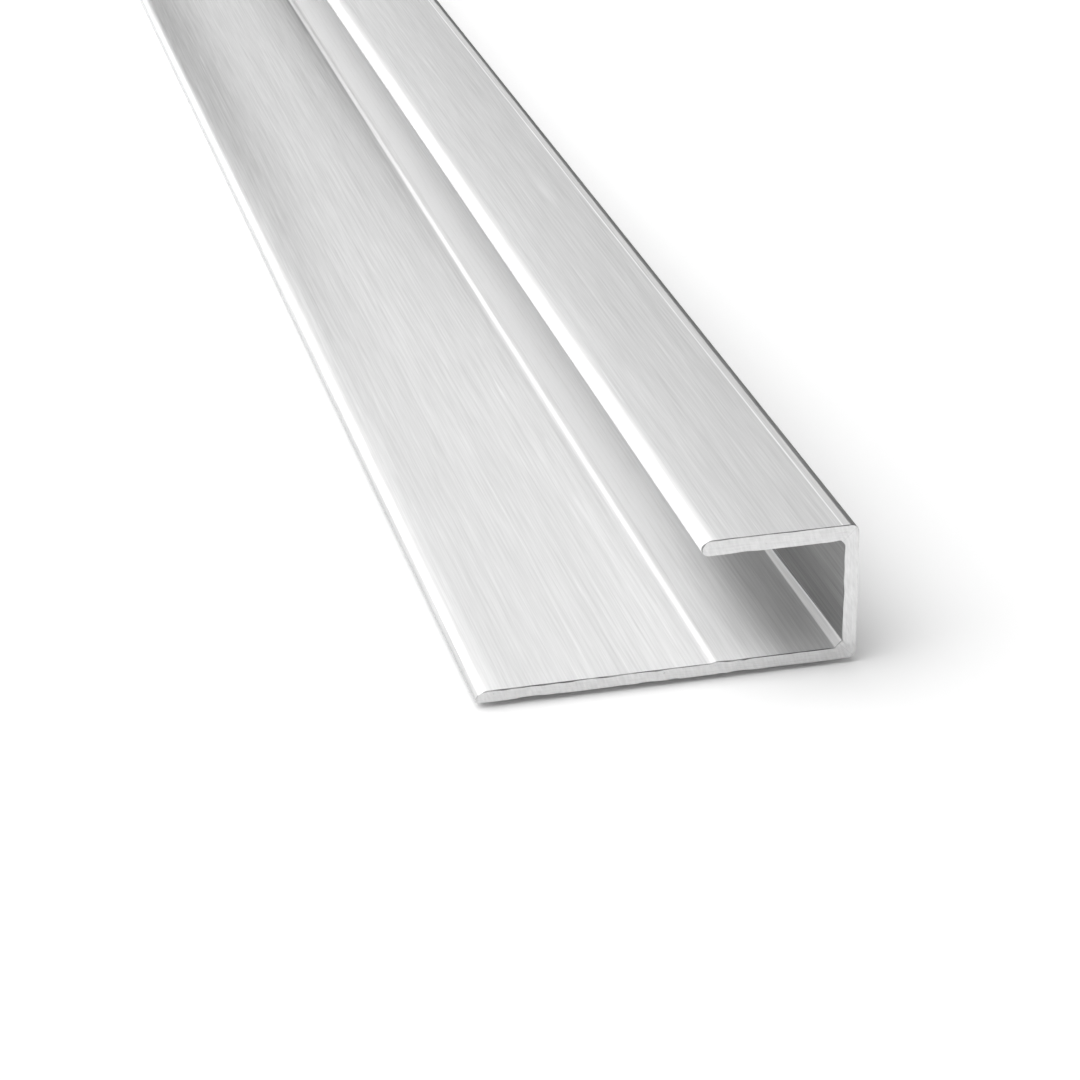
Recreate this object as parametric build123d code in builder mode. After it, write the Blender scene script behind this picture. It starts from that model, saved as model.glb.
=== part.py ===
from build123d import *
import os

# Aluminium edge trim: one sawn length of a U-shaped extrusion with unequal legs.
# The long flange lies flat, the web stands at its right edge, and a short lip
# comes back over the flange, so the channel between them takes a panel's edge.
# Millimetres. X runs from the flange's free edge to the web, Y along the stock,
# Z up, and the origin is under the middle of the stock, on the flange's underside.

# Stock length, between the two saw cuts
stock_length = 1000.0

# Section, across
overall_width = 26.5
lip_width = 11.0
web_thickness = 1.0

# Section, upwards: the panel goes into the channel gap
flange_thickness = 0.85
floor_step = 0.05
channel_gap = 8.0
lip_thickness = 1.1

# The channel floor is a little thicker than the flange, and ends in a short ramp
channel_floor_width = 9.8
ramp_width = 0.5

# Free edges of flange and lip: an elliptical round above, a quarter round below
nose_length = 0.9
nose_height = 0.6
largest_nose_share = 0.8

# Corners of the die
top_corner_radius = 0.6
heel_radius = 0.6
inner_corner_radius = 0.3
root_chamfer = 0.5

# Lines of the section, across
flange_edge = -overall_width / 2
web_outer = overall_width / 2
web_inner = web_outer - web_thickness
lip_edge = web_outer - lip_width
ramp_top = web_outer - channel_floor_width
ramp_foot = ramp_top - ramp_width

# Levels of the section, upwards
floor_level = flange_thickness + floor_step
lip_underside = floor_level + channel_gap
overall_height = lip_underside + lip_thickness

# The quarter round takes what the elliptical round leaves of each wall
flange_lower_radius = flange_thickness - min(nose_height, largest_nose_share * flange_thickness)
lip_lower_radius = lip_thickness - min(nose_height, largest_nose_share * lip_thickness)


def free_edge(edge, underside, wall, lower_radius):
    """Draw the rounded edge of one leg, foremost where its two rounds meet."""
    foremost = underside + lower_radius
    CenterArc((edge + lower_radius, foremost), lower_radius, 180, 90)
    EllipticalCenterArc((edge + nose_length, foremost), nose_length, wall - lower_radius, 90, arc_size=90)


# The section stands across the stock and is drawn out evenly to both saw cuts
with BuildPart() as edge_trim:
    with BuildSketch(Plane.XZ):
        with BuildLine():
            free_edge(flange_edge, 0, flange_thickness, flange_lower_radius)
            FilletPolyline(
                (flange_edge + flange_lower_radius, 0),
                (web_outer, 0),
                (web_outer, overall_height),
                (lip_edge + nose_length, overall_height),
                radius=[heel_radius, top_corner_radius],
            )
            free_edge(lip_edge, lip_underside, lip_thickness, lip_lower_radius)
            FilletPolyline(
                (lip_edge + lip_lower_radius, lip_underside),
                (web_inner, lip_underside),
                (web_inner, floor_level + root_chamfer),
                radius=[inner_corner_radius],
            )
            Polyline(
                (web_inner, floor_level + root_chamfer),
                (web_inner - root_chamfer, floor_level),
                (ramp_top, floor_level),
                (ramp_foot, flange_thickness),
                (flange_edge + nose_length, flange_thickness),
            )
        make_face()
    extrude(amount=stock_length / 2, both=True)
edge_trim.part.label = "edge_trim"

os.makedirs("parts", exist_ok=True)
export_step(edge_trim.part, "parts/edge_trim.step")
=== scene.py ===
import bmesh
import bpy
import numpy as np
from math import pi, radians
from mathutils import Matrix, Vector


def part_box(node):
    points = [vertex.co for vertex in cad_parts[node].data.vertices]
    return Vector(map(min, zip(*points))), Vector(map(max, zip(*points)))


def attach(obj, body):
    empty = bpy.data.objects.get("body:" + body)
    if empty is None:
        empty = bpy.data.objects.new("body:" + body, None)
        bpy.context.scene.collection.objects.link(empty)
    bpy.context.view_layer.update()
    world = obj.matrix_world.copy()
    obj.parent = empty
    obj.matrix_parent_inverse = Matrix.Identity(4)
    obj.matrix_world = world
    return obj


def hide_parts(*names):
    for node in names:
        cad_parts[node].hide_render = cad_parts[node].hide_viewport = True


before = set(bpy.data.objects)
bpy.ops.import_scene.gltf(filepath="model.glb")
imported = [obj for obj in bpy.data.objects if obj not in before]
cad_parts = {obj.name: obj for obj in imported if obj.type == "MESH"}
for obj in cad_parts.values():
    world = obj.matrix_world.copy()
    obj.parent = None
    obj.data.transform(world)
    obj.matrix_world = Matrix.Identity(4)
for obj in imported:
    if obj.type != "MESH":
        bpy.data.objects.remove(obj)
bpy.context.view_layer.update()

# The extrusion's wall
# One aluminium section, pushed through a die: a long flange, a web and a short lip,
# about a millimetre thick. The die rounds the free edges and leaves a flat in the root.
mm = 0.001
stock_low, stock_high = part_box("edge_trim")
flange_edge, near_end, _ = stock_low
web_outer, far_end, overall_height = stock_high

lip_width = 11.0 * mm
web_thickness = 1.0 * mm
flange_thickness = 0.85 * mm
floor_level = 0.9 * mm
lip_thickness = 1.1 * mm
channel_floor_width = 9.8 * mm
ramp_width = 0.5 * mm
crest_height = 0.04 * mm
crest_tail = 1.2 * mm
nose_length = 0.9 * mm
nose_height = 0.6 * mm
top_corner_radius = 0.6 * mm
heel_radius = 0.6 * mm
inner_corner_radius = 0.45 * mm
root_chamfer = 0.5 * mm
root_easing = 0.12 * mm

web_inner = web_outer - web_thickness
lip_edge = web_outer - lip_width
lip_underside = overall_height - lip_thickness
ramp_top = web_outer - channel_floor_width
ramp_foot = ramp_top - ramp_width
corner_x = web_outer - top_corner_radius
corner_z = overall_height - top_corner_radius
flange_lower_radius = flange_thickness - nose_height
lip_lower_radius = lip_thickness - nose_height

station_spacing = 0.2 * mm
fewest_stations = 2
round_steps = 12


def straight(start, end, count):
    """Points of a straight run: start plus an even share of the way to end, end left out."""
    share = np.arange(count)[:, None] / count
    return np.array(start) + share * (np.array(end) - np.array(start))


def swell(start, end, count):
    """Points of a soft step: an even share across, and three of its squares less two of its cubes upwards."""
    share = np.arange(count) / count
    rise = share * share * (3 - 2 * share)
    return np.stack([start[0] + share * (end[0] - start[0]), start[1] + rise * (end[1] - start[1])], axis=1)


def round_run(centre, radii, first_angle, last_angle, count):
    """Points of an ellipse: centre plus the radii times cosine and sine of an evenly growing angle."""
    wide, high = np.broadcast_to(radii, 2)
    angle = np.radians(first_angle + (last_angle - first_angle) * np.arange(count) / count)
    return np.stack([centre[0] + wide * np.cos(angle), centre[1] + high * np.sin(angle)], axis=1)


def eased_flat(low_corner, high_corner, count):
    """The root's 45 degree flat with both edges eased: an eighth turn, a straight and an eighth turn."""
    setback = root_easing * np.tan(pi / 8)
    third = count // 3
    first = (low_corner[0] - setback, low_corner[1] + root_easing)
    last = (high_corner[0] - root_easing, high_corner[1] + setback)
    ease_in = round_run(first, root_easing, -90, -45, third)
    ease_out = round_run(last, root_easing, -45, 0, count - 2 * third)
    flat_start = (first[0] + root_easing * np.cos(pi / 4), first[1] - root_easing * np.sin(pi / 4))
    return np.concatenate([ease_in, straight(flat_start, ease_out[0], third), ease_out])


def stations(start, end):
    """How many stations a straight run takes: its length over the usual spacing, rounded."""
    length = float(np.hypot(end[0] - start[0], end[1] - start[1]))
    return max(fewest_stations, round(length / station_spacing))


def wall_lines():
    """The wall's outer and inner line, from the flange's free edge round to the lip's, as matched stations.

    Station by station the two lines stand opposite each other across the wall, and at both
    free edges they meet in one point, so together they close the section.
    """
    outer, inner = [], []

    def bend(outer_points, inner_points):
        outer.append(outer_points)
        inner.append(inner_points)

    def run(outer_start, outer_end, inner_start, inner_end):
        count = max(stations(outer_start, outer_end), stations(inner_start, inner_end))
        bend(straight(outer_start, outer_end, count), straight(inner_start, inner_end, count))

    flange_below = (flange_edge + flange_lower_radius, flange_lower_radius)
    flange_above = (flange_edge + nose_length, flange_lower_radius)
    lip_foremost = lip_underside + lip_lower_radius
    lip_below = (lip_edge + lip_lower_radius, lip_foremost)
    lip_above = (lip_edge + nose_length, lip_foremost)
    crest = (ramp_top, floor_level + crest_height)
    crest_end = ramp_top + crest_tail
    root_start = (web_inner - root_chamfer, floor_level)
    root_end = (web_inner, floor_level + root_chamfer)
    inside_x = web_inner - inner_corner_radius
    inside_z = lip_underside - inner_corner_radius

    bend(
        round_run(flange_below, flange_lower_radius, 180, 270, round_steps),
        round_run(flange_above, (nose_length, nose_height), 180, 90, round_steps),
    )
    run(
        (flange_below[0], 0), (ramp_foot, 0),
        (flange_above[0], flange_thickness), (ramp_foot, flange_thickness),
    )
    bend(
        straight((ramp_foot, 0), (ramp_top, 0), round_steps),
        swell((ramp_foot, flange_thickness), crest, round_steps),
    )
    bend(
        straight((ramp_top, 0), (crest_end, 0), round_steps),
        swell(crest, (crest_end, floor_level), round_steps),
    )
    run((crest_end, 0), (web_outer - heel_radius, 0), (crest_end, floor_level), root_start)
    bend(
        round_run((web_outer - heel_radius, heel_radius), heel_radius, -90, 0, round_steps),
        eased_flat(root_start, root_end, round_steps),
    )
    run((web_outer, heel_radius), (web_outer, corner_z), root_end, (web_inner, inside_z))
    bend(
        round_run((corner_x, corner_z), top_corner_radius, 0, 90, round_steps),
        round_run((inside_x, inside_z), inner_corner_radius, 0, 90, round_steps),
    )
    run(
        (corner_x, overall_height), (lip_above[0], overall_height),
        (inside_x, lip_underside), (lip_below[0], lip_underside),
    )
    bend(
        round_run(lip_above, (nose_length, nose_height), 90, 180, round_steps),
        round_run(lip_below, lip_lower_radius, 270, 180, round_steps),
    )
    tip = [[lip_edge, lip_foremost]]
    return np.concatenate(outer + [tip]), np.concatenate(inner + [tip])


outer_line, inner_line = wall_lines()
last = len(outer_line) - 1

# Its two sawn ends
# The saw leaves each end square, with the rim rolled over by a few hundredths of a
# millimetre, torn deeper in places, so the rim's line is never quite clean.
rim_depth = 0.02 * mm
least_roll = 0.4
tear_depth = 0.04 * mm
undercut_depth = 0.05 * mm
undercut_least, undercut_swing = 0.7, 0.6
chip_depth = 0.06 * mm
rim_reach = 0.2 * mm
# Of each ring: its distance in reaches, its share of the roll and its share of the undercut
rim_rings = [
    (0.0, 1.0, 1.0),
    (0.25, 0.45, 1.0),
    (0.6, 0.12, 0.98),
    (1.0, 0.0, 0.95),
    (4.0, 0.0, 0.7),
    (9.0, 0.0, 0.25),
    (14.0, 0.0, 0.0),
]
ring_spacing = 25 * mm
rows_across = 8
near_seed, far_seed = 4, 9
waver_turns = (7, 13, 29, 53)
bump_count = 26
bump_widths = (0.002, 0.008)
bump_heights = (0.3, 1.0)
crease_angle = 38


def torn(length, seed):
    """How far the rim is torn back along the section, 0 to 1: half a slow waver plus a few narrow bumps.

    The waver is an eighth of four sines plus a half, and a bump is its height times e to the power of
    minus the square of distance over width.
    """
    chance = np.random.default_rng(seed)
    at = np.linspace(0, 1, length, endpoint=False)
    waver = sum(np.sin(2 * pi * (at * turns + chance.random())) for turns in waver_turns) / 8 + 0.5
    places = chance.random(bump_count)
    widths = chance.uniform(*bump_widths, bump_count)
    heights = chance.uniform(*bump_heights, bump_count)
    bumps = np.exp(-(((at[:, None] - places) / widths) ** 2)) @ heights
    return np.clip(0.5 * waver + bumps, 0, 1)


section = np.concatenate([outer_line, inner_line[-2:0:-1]])
around = len(section)
forward = np.roll(section, -1, axis=0) - np.roll(section, 1, axis=0)
outward = np.stack([forward[:, 1], -forward[:, 0]], axis=1)
outward /= np.linalg.norm(outward, axis=1, keepdims=True)
under = np.clip(-outward[:, 1], 0, 1) * (section[:, 1] < flange_lower_radius)


def rim(end, inwards, seed):
    """The rings at one cut: their places along the stock, and how far each draws the wall in.

    That is the ring's share of the roll, plus its share of the undercut. The roll is the torn rim's
    square, and on the underside it gives way to chips and to a slow undercut.
    """
    roll = rim_depth * least_roll + (rim_depth + tear_depth) * torn(around, seed) ** 2
    undercut = under * undercut_depth * (undercut_least + undercut_swing * torn(around, seed + 1))
    chips = under * chip_depth * torn(around, seed + 2) ** 2
    places = [end + inwards * reaches * rim_reach for reaches, _, _ in rim_rings]
    drawn_in = [fall * (roll * (1 - under) + chips) + lift * undercut for _, fall, lift in rim_rings]
    return places, drawn_in


near_places, near_insets = rim(near_end, 1, near_seed)
far_places, far_insets = rim(far_end, -1, far_seed)
plain_stretches = int((far_end - near_end) / ring_spacing) + 1
between = np.linspace(near_places[-1], far_places[-1], plain_stretches)[1:-1]
ring_y = np.array(near_places + list(between) + far_places[::-1])
ring_inset = np.array(near_insets + [np.zeros(around)] * len(between) + far_insets[::-1])

# The skin: the section carried along the stock, drawn in against its outward direction at the rims
ring_count = len(ring_y)
skin = np.empty((ring_count, around, 3))
skin[:, :, [0, 2]] = section - ring_inset[:, :, None] * outward
skin[:, :, 1] = ring_y[:, None]
skin_points = skin.reshape(-1, 3)
skin_index = np.arange(ring_count * around).reshape(ring_count, around)
beside = np.roll(skin_index, -1, axis=1)
skin_faces = np.stack([skin_index[:-1], beside[:-1], beside[1:], skin_index[1:]], axis=-1).reshape(-1, 4)

# The grain's course: length along the wall, and 0 on its outer line to 1 on its inner one
across = np.linspace(0, 1, rows_across + 1)
step = np.linalg.norm(np.diff((outer_line + inner_line) / 2, axis=0), axis=1)
along = np.concatenate([[0], np.cumsum(step)])
flow = np.zeros((around, 3))
flow[: last + 1, 0] = along
flow[last + 1 :, 0] = along[-2:0:-1]
flow[last + 1 :, 1] = 1
flow[[0, last], 1] = 0.5

points, flows, quads, corners = [skin_points], [np.tile(flow, (ring_count, 1))], [skin_faces], []
for ring in (0, ring_count - 1):
    # Each row of a cut lies an even share of the way from the wall's outer line to its inner one
    outer_index = skin_index[ring, : last + 1]
    inner_index = np.concatenate([[outer_index[0]], skin_index[ring, :last:-1], [outer_index[last]]])
    share = across[1:-1, None, None]
    inside = skin_points[outer_index[1:-1]] * (1 - share) + skin_points[inner_index[1:-1]] * share
    first = sum(len(p) for p in points)
    inside_index = first + np.arange(inside.shape[0] * inside.shape[1]).reshape(inside.shape[:2])
    inside_along = np.tile(along[1:-1], rows_across - 1)
    inside_across = np.repeat(across[1:-1], last - 1)
    grid = np.concatenate([outer_index[None, 1:-1], inside_index, inner_index[None, 1:-1]])
    points.append(inside.reshape(-1, 3))
    flows.append(np.stack([inside_along, inside_across, np.zeros(inside_index.size)], axis=1))
    cut_faces = np.stack([grid[:-1, :-1], grid[:-1, 1:], grid[1:, 1:], grid[1:, :-1]], axis=-1)
    quads.append(cut_faces.reshape(-1, 4))
    for tip, column in ((outer_index[0], grid[:, 0]), (outer_index[last], grid[:, -1])):
        corners.append(np.stack([np.full(rows_across, tip), column[:-1], column[1:]], axis=1))

faces = np.concatenate(quads).tolist() + np.concatenate(corners).tolist()
mesh = bpy.data.meshes.new("trim_profile")
mesh.from_pydata(np.concatenate(points).tolist(), [], faces)
flow_attribute = mesh.attributes.new("wall_flow", "FLOAT_VECTOR", "POINT")
flow_attribute.data.foreach_set("vector", np.concatenate(flows).ravel())

work = bmesh.new()
work.from_mesh(mesh)
bmesh.ops.recalc_face_normals(work, faces=work.faces)
work.to_mesh(mesh)
work.free()
mesh.shade_smooth()
mesh.set_sharp_from_angle(angle=radians(crease_angle))
trim = bpy.data.objects.new("trim_profile", mesh)
bpy.context.collection.objects.link(trim)
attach(trim, "root")
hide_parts("edge_trim")


# The brushed finish
# An abrasive belt has run along the stock and left hairlines some tenth of a millimetre wide and
# one to three centimetres long, over the slow bands that the die itself leaves. Its grey also
# carries painted highlights and painted shade, set out below.
class Field:
    """A value that changes over a surface. Arithmetic on it adds Math nodes, and node() adds any other."""

    def __init__(self, socket):
        self.socket = socket

    def node(self, kind, settings=None, inputs=None, output=0):
        """Any node: its type, then its settings, then the values or links of its sockets."""
        tree = self.socket.id_data
        made = tree.nodes.new(kind)
        for name, value in (settings or {}).items():
            setattr(made, name, value)
        for name, value in (inputs or {}).items():
            if isinstance(value, Field):
                tree.links.new(value.socket, made.inputs[name])
            else:
                made.inputs[name].default_value = value
        return Field(made.outputs[output])

    def maths(self, operation, *values):
        return self.node("ShaderNodeMath", {"operation": operation}, dict(enumerate(values)))

    def __add__(self, other):
        return self.maths("ADD", self, other)

    __radd__ = __add__

    def __mul__(self, other):
        return self.maths("MULTIPLY", self, other)

    __rmul__ = __mul__

    def __sub__(self, other):
        return self.maths("SUBTRACT", self, other)

    def __rsub__(self, other):
        return self.maths("SUBTRACT", other, self)

    def size(self):
        return self.maths("ABSOLUTE", self)

    def smaller(self, other):
        return self.maths("MINIMUM", self, other)

    def larger(self, other):
        return self.maths("MAXIMUM", self, other)

    def parts(self):
        """The three numbers of a place or direction, each as a field."""
        return [self.node("ShaderNodeSeparateXYZ", inputs={0: self}, output=i) for i in range(3)]

    def joined(self, y, z):
        """A place or colour of three numbers, of which this is the first."""
        return self.node("ShaderNodeCombineXYZ", inputs={0: self, 1: y, 2: z})

    def grey(self):
        return self.joined(self, self)

    def noise(self, detail=2.0, rough=0.5):
        """Soft noise around a half, with cells one unit wide in these places."""
        inputs = {"Vector": self, "Scale": 1.0, "Detail": detail, "Roughness": rough}
        return self.node("ShaderNodeTexNoise", inputs=inputs)

    def ramped(self, low, high, low_value=0.0, high_value=1.0):
        """A smooth step from low_value at low to high_value at high, level beyond both, either way round."""
        inputs = {"Value": self, "From Min": low, "From Max": high, "To Min": low_value, "To Max": high_value}
        return self.node("ShaderNodeMapRange", {"interpolation_type": "SMOOTHSTEP"}, inputs)

    def relief(self, distance):
        """The normal of a surface raised by this much, times distance."""
        inputs = {"Strength": 1.0, "Distance": distance, "Height": self}
        return self.node("ShaderNodeBump", inputs=inputs)


def new_material(name, **sockets):
    """A material with its constant sockets set, and the Object coordinates to build on."""
    material = bpy.data.materials.new(name)
    material.use_nodes = True
    surface = material.node_tree.nodes["Principled BSDF"]
    for socket, value in sockets.items():
        surface.inputs[socket.replace("_", " ")].default_value = value
    return material, surface, Field(surface.outputs["BSDF"]).node("ShaderNodeTexCoord", output="Object")


def feed(surface, name, field):
    """Link a field to one of the surface's sockets."""
    surface.id_data.links.new(field.socket, surface.inputs[name])


def drawn_out(x, y, z, cells, detail=2.0, rough=0.5):
    """Noise drawn out along the stock: each place times the cells to a metre, across it or along it."""
    across, along = cells
    return (x * across).joined(y * along, z * across).noise(detail, rough)


metal_grey = 0.79
brightest_grey = 0.97
plain_metallic = 0.5
plain_roughness = 0.48
brushed, surface, place = new_material(
    "brushed_aluminium", Metallic=plain_metallic, Anisotropic=0.85, Anisotropic_Rotation=0.25
)
x, y, z = place.parts()

# The belt's hairlines, a few deeper scratches, and the die's bands. Of each kind the pair of
# numbers says how many cells there are to a metre, across the stock and along it.
wander_cells, wander_width = (400, 45), 0.25 * mm
short_cells, short_share = (6500, 130), 0.55
long_cells = (4800, 32)
scratch_cells, scratch_rarity = (3500, 90), (0.66, 0.8)
band_cells = (700, 5)
wander = (drawn_out(x, y, z, wander_cells) - 0.5) * wander_width
short_hair = drawn_out(x + wander, y, z + wander, short_cells, detail=3.0, rough=0.6)
long_hair = drawn_out(x, y, z, long_cells, rough=0.6)
hairline = short_hair * short_share + long_hair * (1 - short_share)
scratch = drawn_out(x - wander, y, z - wander, scratch_cells).ramped(*scratch_rarity)
band = drawn_out(x, y, z, band_cells)

# The rounds that the belt only grazes: both free edges, the top corner and the ramp
round_outside, round_inside = 0.8 * mm, 0.35 * mm
upper_half, upper_full = flange_thickness - 0.35 * mm, flange_thickness - 0.15 * mm
flange_top = z.ramped(floor_level + 0.2 * mm, floor_level + 0.1 * mm) * z.ramped(upper_half, upper_full)
ramp_middle = (ramp_foot + ramp_top) / 2
nose = x.ramped(flange_edge + round_outside, flange_edge + round_inside)
lip_nose = x.ramped(lip_edge + round_outside, lip_edge + round_inside)
lip_nose = lip_nose * z.ramped(lip_underside - 0.4 * mm, lip_underside)
corner = x.ramped(corner_x - 0.05 * mm, corner_x + 0.01 * mm)
corner = corner * z.ramped(corner_z - 0.2 * mm, corner_z - 0.1 * mm)
ramp_zone = (x - ramp_middle).size().ramped(0.6 * mm, 0.15 * mm) * flange_top
smooth_round = nose + lip_nose * 0.6 + corner + ramp_zone * 0.2

# Painted highlight: where those rounds turn up to the light, they are painted paler,
# and painted shade makes the flange's round darker below
turned_up = 0.68 * mm
nose_painted_highlight = x.ramped(flange_edge + 2.2 * mm, flange_edge + 0.5 * mm) * z.ramped(0.6 * mm, turned_up)
lip_painted_highlight = x.ramped(lip_edge + 1.5 * mm, lip_edge + 0.6 * mm)
lip_painted_highlight = lip_painted_highlight * z.ramped(lip_underside, lip_underside + 0.3 * mm)
round_underside_painted_shade = nose * z.ramped(turned_up, 0.6 * mm) * z.ramped(0.5 * mm, 0.2 * mm, 0.35, 1.0)

# Inside the channel, painted light and shade: a painted pale strip, painted shade that deepens
# towards the web and the near cut, and painted shade that darkens the inner face of the web
in_channel = z.ramped(lip_underside + 0.3 * mm, lip_underside + 0.1 * mm) * z.ramped(0.3 * mm, 0.6 * mm)
in_channel = in_channel * x.ramped(web_inner + 0.65 * mm, web_inner + 0.45 * mm)
by_the_cut = y.ramped(near_end + 30 * mm, near_end + 2 * mm)
channel_floor = in_channel * z.ramped(floor_level + 0.1 * mm, floor_level + 0.05 * mm)
channel_painted_shade = channel_floor * x.ramped(4.5 * mm, 8.5 * mm) * (0.4 + 0.6 * by_the_cut)
channel_painted_light = channel_floor * x.ramped(3.3 * mm, 4.2 * mm) * x.ramped(9.0 * mm, 7.0 * mm)
channel_painted_light = channel_painted_light * (1.0 - 0.5 * by_the_cut)
root_top = floor_level + root_chamfer
inner_web_painted_shade = in_channel * x.ramped(web_inner - 0.15 * mm, web_inner - 0.01 * mm)
inner_web_painted_shade = inner_web_painted_shade * z.ramped(root_top, root_top + 0.1 * mm) * z.ramped(2.0 * mm, 6.0 * mm, 1.0, 0.87)

# The flat in the root, painted a little paler, with a painted highlight along both of its edges.
# Painted shade over its upper edge and the web beside it makes it narrower away from the cut.
edge_inset = 0.02 * mm
flat_low = web_inner - root_chamfer + edge_inset
narrowing = y.ramped(near_end + 2 * mm, near_end + 18 * mm) * (0.13 * mm)
flat_high = web_inner - edge_inset - narrowing
root = in_channel * x.ramped(flat_low - edge_inset, flat_low) * z.ramped(root_top + 0.05 * mm, root_top)
root_painted_shade = root * (x - flat_high).ramped(0.0, edge_inset)
root_flat = root - root_painted_shade
root_painted_highlight = root_flat * (flat_high - x).smaller(x - flat_low).ramped(0.1 * mm, 0.05 * mm)

# The lip's top: a bright die line and a paler strip next to the corner, and painted shade that greys it
# towards them
on_lip = z.ramped(overall_height - 0.15 * mm, overall_height - 0.05 * mm)
die_line_place = web_outer - 1.17 * mm
die_line = on_lip * (x - die_line_place).size().ramped(0.09 * mm, 0.03 * mm)
edge_strip = on_lip * x.ramped(web_outer - 1.1 * mm, web_outer - 0.95 * mm)
lip_painted_shade = on_lip * (0.05 + 0.09 * x.ramped(3 * mm, 12 * mm))

# Painted shade: the flange is painted greyer from both ends of the stock inwards, least along
# its middle, and a little paler towards the ramp near the ends; further in, the painted
# highlights on the ramp and the nose are dimmed too
inland = y.size().ramped(far_end, far_end - 160 * mm)
far_in = y.size().ramped(far_end - 60 * mm, far_end - 190 * mm)
on_flange = flange_top * x.ramped(ramp_foot + 0.15 * mm, ramp_foot - 0.05 * mm)
middle = (x + 4 * mm).size().ramped(7.5 * mm, 0.0)
inland_painted_shade = inland * (1.0 - 0.6 * middle) * 0.26 - (1.0 - inland) * x.ramped(-3 * mm, 2.8 * mm) * 0.05
side_painted_shade = x.ramped(-7 * mm, -11.5 * mm) * 0.1 + x.ramped(0.5 * mm, 2.8 * mm) * 0.12
flange_painted_shade = on_flange * (inland_painted_shade + far_in * side_painted_shade) + far_in * (ramp_zone * 0.4 + nose_painted_highlight * 0.2)

# Added to the grey: the hairlines, the die's bands, the scratches, the die line and the strip by the corner,
# and painted highlights on the two noses, the ramp and the root's flat and edges, and the painted light strip
# in the channel
paler = [
    (hairline - 0.5, 0.46),
    (band - 0.5, 0.08),
    (scratch, 0.08),
    (nose_painted_highlight, 0.14),
    (lip_painted_highlight, 0.18),
    (ramp_zone, 0.18),
    (root_flat, 0.02),
    (root_painted_highlight, 0.16),
    (die_line, 0.25),
    (edge_strip, 0.03),
    (channel_painted_light, 0.19),
]
# Taken from the grey, all of it painted shade: in the channel, on the inner web and the root, along the
# flange and the lip, under the flange's round, and a painted dark reflection on the top corner
darker = [
    (channel_painted_shade, 0.2),
    (inner_web_painted_shade + root_painted_shade, 0.54),
    (flange_painted_shade, 1.0),
    (lip_painted_shade, 1.0),
    (round_underside_painted_shade, 0.27),
    (corner, 0.06),
]
grey = sum((mask * amount for mask, amount in paler), metal_grey)
grey = grey - sum((mask * amount for mask, amount in darker), 0.0)
feed(surface, "Base Color", grey.smaller(brightest_grey).grey())
# The rounds are more metallic, and the channel's painted light strip less, so it lights more like paint
feed(surface, "Metallic", plain_metallic + 0.5 * smooth_round - 0.4 * channel_painted_light)
roughness = plain_roughness - smooth_round * 0.18 + (hairline - 0.5) * 0.12 + (band - 0.5) * 0.08
feed(surface, "Roughness", roughness)
hair_height, band_height = 0.012 * mm, 0.008 * mm
brushed_relief = (hairline * hair_height + band * band_height) * (1.0 - smooth_round)
feed(surface, "Normal", brushed_relief.relief(1.0))

# The mirror image is stretched across the hairlines, about an axis that the texture space sets.
# It stands so far to the left that the hairlines run straight along the stock.
axis_distance = 50
mesh.use_auto_texspace = False
mesh.texspace_location = (-axis_distance, 0, 0)
mesh.texspace_size = (axis_distance, axis_distance, axis_distance)

# The sawn ends' finish
# The cut shows the grain of the bar, drawn out along each wall and meeting in a faint
# mitre at the two corners of the web, under the saw's marks and a few pits.
sawn_grey = 0.77
sawn_roughness = 0.42
sawn_relief = 0.03 * mm
grain_cells = (500, 9)
pit_cells = 2600
pit_slice = 5.0
pit_rarity = (0.7, 0.8)
mitre_line = (0.06 * mm, 0.02 * mm)
sawn, surface, place = new_material("sawn_aluminium", Metallic=1.0)
course = place.node("ShaderNodeAttribute", {"attribute_name": "wall_flow"}, output="Vector")
run_along, run_across, _ = course.parts()
grain = (run_along * grain_cells[0]).joined(run_across * grain_cells[1], 0.0).noise(detail=3.0, rough=0.6)
x, y, z = place.parts()
marks = (x * 4500 + z * 1500).joined(z * 1100 - x * 300, 0.0).noise()
pits = (x * pit_cells).joined(z * pit_cells, pit_slice).noise().ramped(*pit_rarity)
# Painted shade: the cut is painted darker towards the floor, and more so towards the web
low = z.ramped(1.3 * mm, 0.9 * mm) * (0.01 + 0.09 * x.ramped(3 * mm, 12 * mm))
low = low + z.ramped(7 * mm, 0.5 * mm) * 0.03
from_web = web_outer - x
heel_mitre = (from_web - z).size().ramped(*mitre_line)
top_mitre = (from_web + z - overall_height).size().ramped(*mitre_line)
mitre = (heel_mitre + top_mitre) * from_web.ramped(1.5 * mm, 1.2 * mm)
sawn_tone = sawn_grey - low - mitre * 0.06 - pits * 0.3 + (grain - 0.5) * 0.2 + (marks - 0.5) * 0.22
feed(surface, "Base Color", sawn_tone.grey())
feed(surface, "Roughness", sawn_roughness + (grain - 0.5) * 0.2)
feed(surface, "Normal", (grain + marks - pits).relief(sawn_relief))

# The rolled rim is darker, and patchy
rim_cells = 700
rim_patches = (0.35, 0.7)
rim_darkest, rim_palest = 0.25, 0.62
rim_metal, surface, place = new_material("sawn_rim", Metallic=1.0, Roughness=0.5)
x, y, z = place.parts()
rim_tone = (x * rim_cells).joined(0.0, z * rim_cells).noise().ramped(*rim_patches, rim_darkest, rim_palest)
feed(surface, "Base Color", rim_tone.grey())

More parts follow.
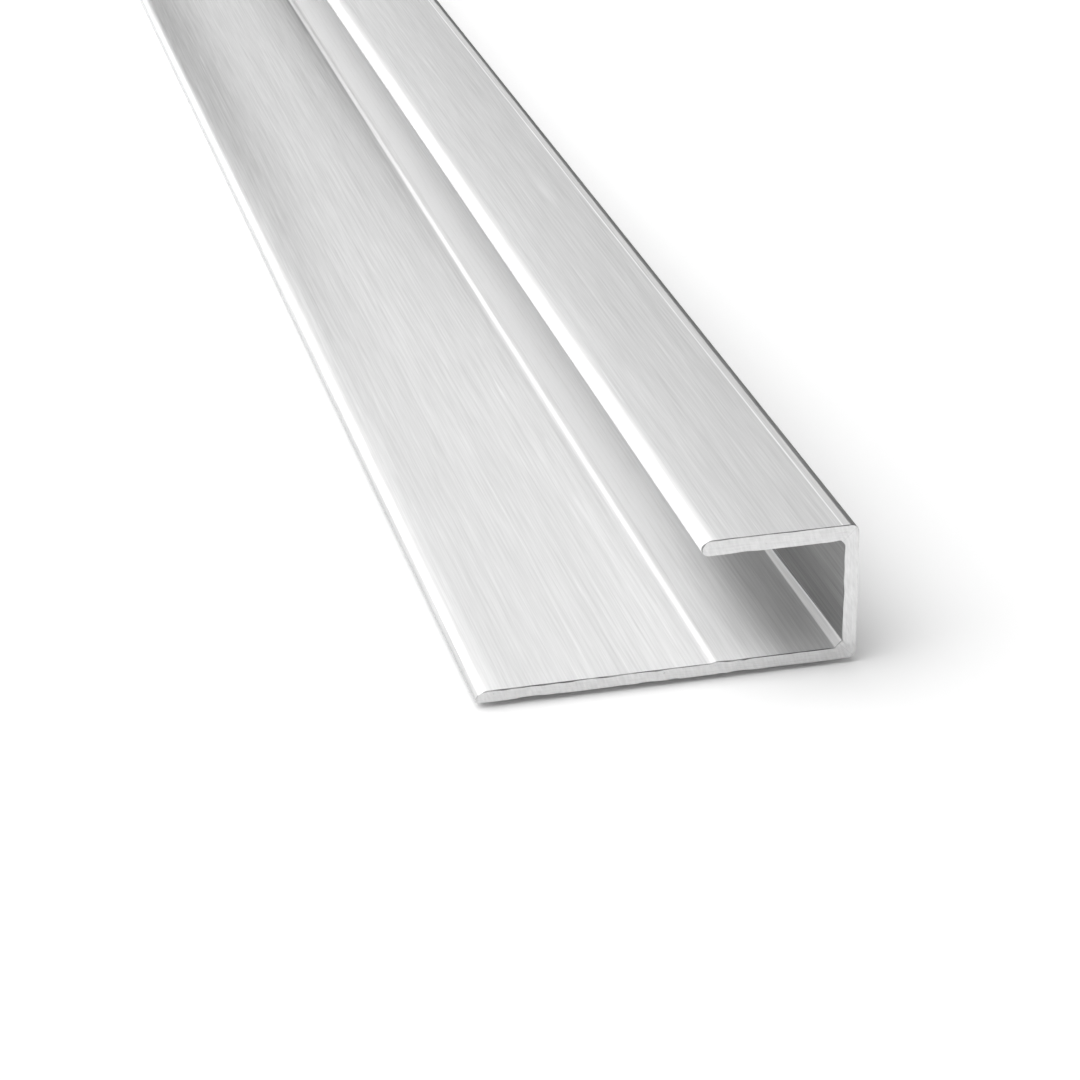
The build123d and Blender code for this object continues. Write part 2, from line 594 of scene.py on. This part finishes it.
# The faces between the first three rings at each cut are the rim, and those after the skin the cut
finishes = [brushed, sawn, rim_metal]
for finish in finishes:
    mesh.materials.append(finish)
rim_faces = 2 * around
finish_index = np.zeros(len(mesh.polygons), dtype=np.int32)
finish_index[len(skin_faces) :] = finishes.index(sawn)
finish_index[:rim_faces] = finishes.index(rim_metal)
finish_index[len(skin_faces) - rim_faces : len(skin_faces)] = finishes.index(rim_metal)
mesh.polygons.foreach_set("material_index", finish_index)

# The floor
# A plain white table top, which keeps the stock's soft shadow. The stock stands on the burr
# of its cuts, so a thin dark line shows under it. Further back the table is painted paler for
# the rays that are seen, a painted light that lightens the shadow there.
floor_half_side = 30.0
burr_height = 0.35 * mm
floor_paint = 0.8
floor_white = 1.03
painted_paler_back = 0.12


def seen_rays(start):
    """1 where a ray comes from the camera, off metal or through glass, else 0: the largest of the three."""
    camera_ray = start.node("ShaderNodeLightPath", output="Is Camera Ray")
    glossy_ray = start.node("ShaderNodeLightPath", output="Is Glossy Ray")
    clear_ray = start.node("ShaderNodeLightPath", output="Is Transmission Ray")
    return camera_ray.larger(glossy_ray).larger(clear_ray)


def flat_sheet(name, corners):
    """A single face with those corners, which is part of the studio."""
    sheet_mesh = bpy.data.meshes.new(name)
    sheet_mesh.from_pydata(corners, [], [(0, 1, 2, 3)])
    sheet = bpy.data.objects.new(name, sheet_mesh)
    bpy.context.collection.objects.link(sheet)
    return sheet


def shader_only(name, shader):
    """A material whose surface is one shader, which the function that is given makes from its coordinates."""
    material, surface, place = new_material(name)
    tree = material.node_tree
    tree.links.new(shader(place).socket, tree.nodes["Material Output"].inputs["Surface"])
    tree.nodes.remove(surface)
    return material


def floor_shader(place):
    """Plain paint for the light, and white for the rays that are seen, painted paler past the cut, which
    lightens the shadow there.
    """
    _, floor_y, _ = place.parts()
    back_painted_light = floor_y.ramped(near_end + 20 * mm, near_end + 140 * mm, 0.0, painted_paler_back)
    tone = floor_paint + seen_rays(place) * (floor_white - floor_paint + back_painted_light)
    return tone.node("ShaderNodeBsdfDiffuse", inputs={"Color": tone.grey()})


floor_corners = floor_half_side * np.array([(-1, -1), (1, -1), (1, 1), (-1, 1)])
floor = flat_sheet("floor", [(side, depth, -burr_height) for side, depth in floor_corners.tolist()])
floor.data.materials.append(shader_only("floor_white", floor_shader))

# The light
# An even white room, a broad soft lamp high on the left, and a light tent that only
# the metal mirrors: bright behind on the left, greying to the right and the horizon.
room_level = 0.38
lamp_strength = 2.45
lamp_spread = 80
lamp_from = Vector((-0.5, 0.15, 0.85))
white = (1, 1, 1, 1)

world = bpy.data.worlds.new("room")
world.use_nodes = True
bpy.context.scene.world = world
background = world.node_tree.nodes["Background"]
background.inputs["Color"].default_value = white
room_light = room_level + seen_rays(Field(background.outputs["Background"])) * (1 - room_level)
feed(background, "Strength", room_light)

lamp = bpy.data.lights.new("soft_lamp", "SUN")
lamp.energy = lamp_strength
lamp.angle = radians(lamp_spread)
lamp_object = bpy.data.objects.new("soft_lamp", lamp)
bpy.context.collection.objects.link(lamp_object)
lamp_object.rotation_euler = lamp_from.to_track_quat("Z", "Y").to_euler()
lamp_object.visible_glossy = False

# The tent: a half sphere, whose light goes by the angle over the stock from right to left
tent_radius = 8.0
tent_columns, tent_rows = 48, 24
lowest_rise = 0.001
right_cloth, top_cloth, left_cloth = 0.18, 0.4, 0.6
softbox_strength, side_box_strength = 1.5, 2.2
far_dimming, back_dimming = 0.55, 0.45
turns = np.linspace(0, 2 * pi, tent_columns, endpoint=False)
rises = np.linspace(lowest_rise, pi / 2, tent_rows)
turn, rise = np.meshgrid(turns, rises, indexing="ij")
dome = np.stack([np.sin(turn) * np.cos(rise), np.cos(turn) * np.cos(rise), np.sin(rise)], axis=-1)
dome_index = np.arange(tent_columns * tent_rows).reshape(tent_columns, tent_rows)
next_column = np.roll(dome_index, -1, axis=0)
dome_faces = np.stack(
    [dome_index[:, :-1], dome_index[:, 1:], next_column[:, 1:], next_column[:, :-1]], axis=-1
)
tent_mesh = bpy.data.meshes.new("light_tent")
tent_mesh.from_pydata((tent_radius * dome).reshape(-1, 3).tolist(), [], dome_faces.reshape(-1, 4).tolist())
tent = bpy.data.objects.new("light_tent", tent_mesh)
bpy.context.collection.objects.link(tent)


def mirrored_only(studio_piece):
    """Hide a piece from everything but the rays that metal throws back."""
    studio_piece.visible_camera = False
    studio_piece.visible_diffuse = False
    studio_piece.visible_shadow = False
    studio_piece.visible_transmission = False
    studio_piece.visible_volume_scatter = False


def tent_shader(place):
    """The tent's light: grey cloth, a softbox overhead and one on the left, dimmed towards the horizon.

    The angle over the stock is 0 on the right and a half turn on the left.
    """
    direction = place.node("ShaderNodeVectorMath", {"operation": "NORMALIZE"}, {0: place})
    right, back, high = direction.parts()
    over = high.maths("ARCTAN2", high, right)
    lower_left = over - back.ramped(0.88, 0.94, 0.0, radians(26))
    left_side = lower_left.ramped(radians(124), radians(142), 1.0, 0.0)
    cloth = over.ramped(radians(35), radians(75), right_cloth, top_cloth)
    cloth = cloth + over.ramped(radians(130), radians(150), 0.0, left_cloth)
    softbox = over.ramped(radians(78), radians(102), 0.0, softbox_strength) * left_side
    side_box = over.ramped(radians(108), radians(118), 0.0, side_box_strength) * left_side
    horizon = back.ramped(0.88, 0.97, 1.0, far_dimming) * back.ramped(0.35, 0.75, back_dimming, 1.0)
    glow = (cloth + softbox + side_box) * horizon
    return glow.node("ShaderNodeEmission", inputs={"Color": white, "Strength": glow})


mirrored_only(tent)
tent_mesh.materials.append(shader_only("tent_cloth", tent_shader))

# The flag: black felt laid beside the web, which darkens what the top corner mirrors
flag_gap = 0.8 * mm
flag_width = 0.25
flag_level = 0.5 * mm
flag_near, flag_far = -0.5, 1.0
felt_grey = 0.02
felt_glow = 0.06
flag_corners = ((flag_gap, flag_near), (flag_width, flag_near), (flag_width, flag_far), (flag_gap, flag_far))
flag = flat_sheet("dark_flag", [(web_outer + aside, depth, flag_level) for aside, depth in flag_corners])
mirrored_only(flag)
felt_colour = (felt_grey, felt_grey, felt_grey, 1)
felt, _, _ = new_material(
    "black_felt", Base_Color=felt_colour, Emission_Color=white, Emission_Strength=felt_glow
)
flag.data.materials.append(felt)

# The camera
# It stands low in front of the sawn end, a little to its left, and looks down along the stock.
# Its focal length is in pixels of the picture's width, and its angles are in degrees.
picture_width = 1080
focal_pixels = 3137.55
sensor_width = 36
closest_seen = 0.01
yaw, pitch, roll = radians(13.3031), radians(25.115), radians(-0.7269)
eye = Vector((web_outer - 64.5384 * mm, near_end - 179.9995 * mm, 98.2034 * mm))

camera_data = bpy.data.cameras.new("camera")
camera_data.lens = focal_pixels / picture_width * sensor_width
camera_data.sensor_width = sensor_width
camera_data.clip_start = closest_seen
camera = bpy.data.objects.new("camera", camera_data)
bpy.context.collection.objects.link(camera)
ahead = Vector((np.sin(yaw) * np.cos(pitch), np.cos(yaw) * np.cos(pitch), -np.sin(pitch)))
level = Vector((np.cos(yaw), -np.sin(yaw), 0))
up = level.cross(ahead)
rightwards = np.cos(roll) * level + np.sin(roll) * up
upwards = -np.sin(roll) * level + np.cos(roll) * up
camera.matrix_world = Matrix.Translation(eye) @ Matrix((rightwards, upwards, -ahead)).transposed().to_4x4()
bpy.context.scene.camera = camera
bpy.context.scene.view_settings.view_transform = "Standard"
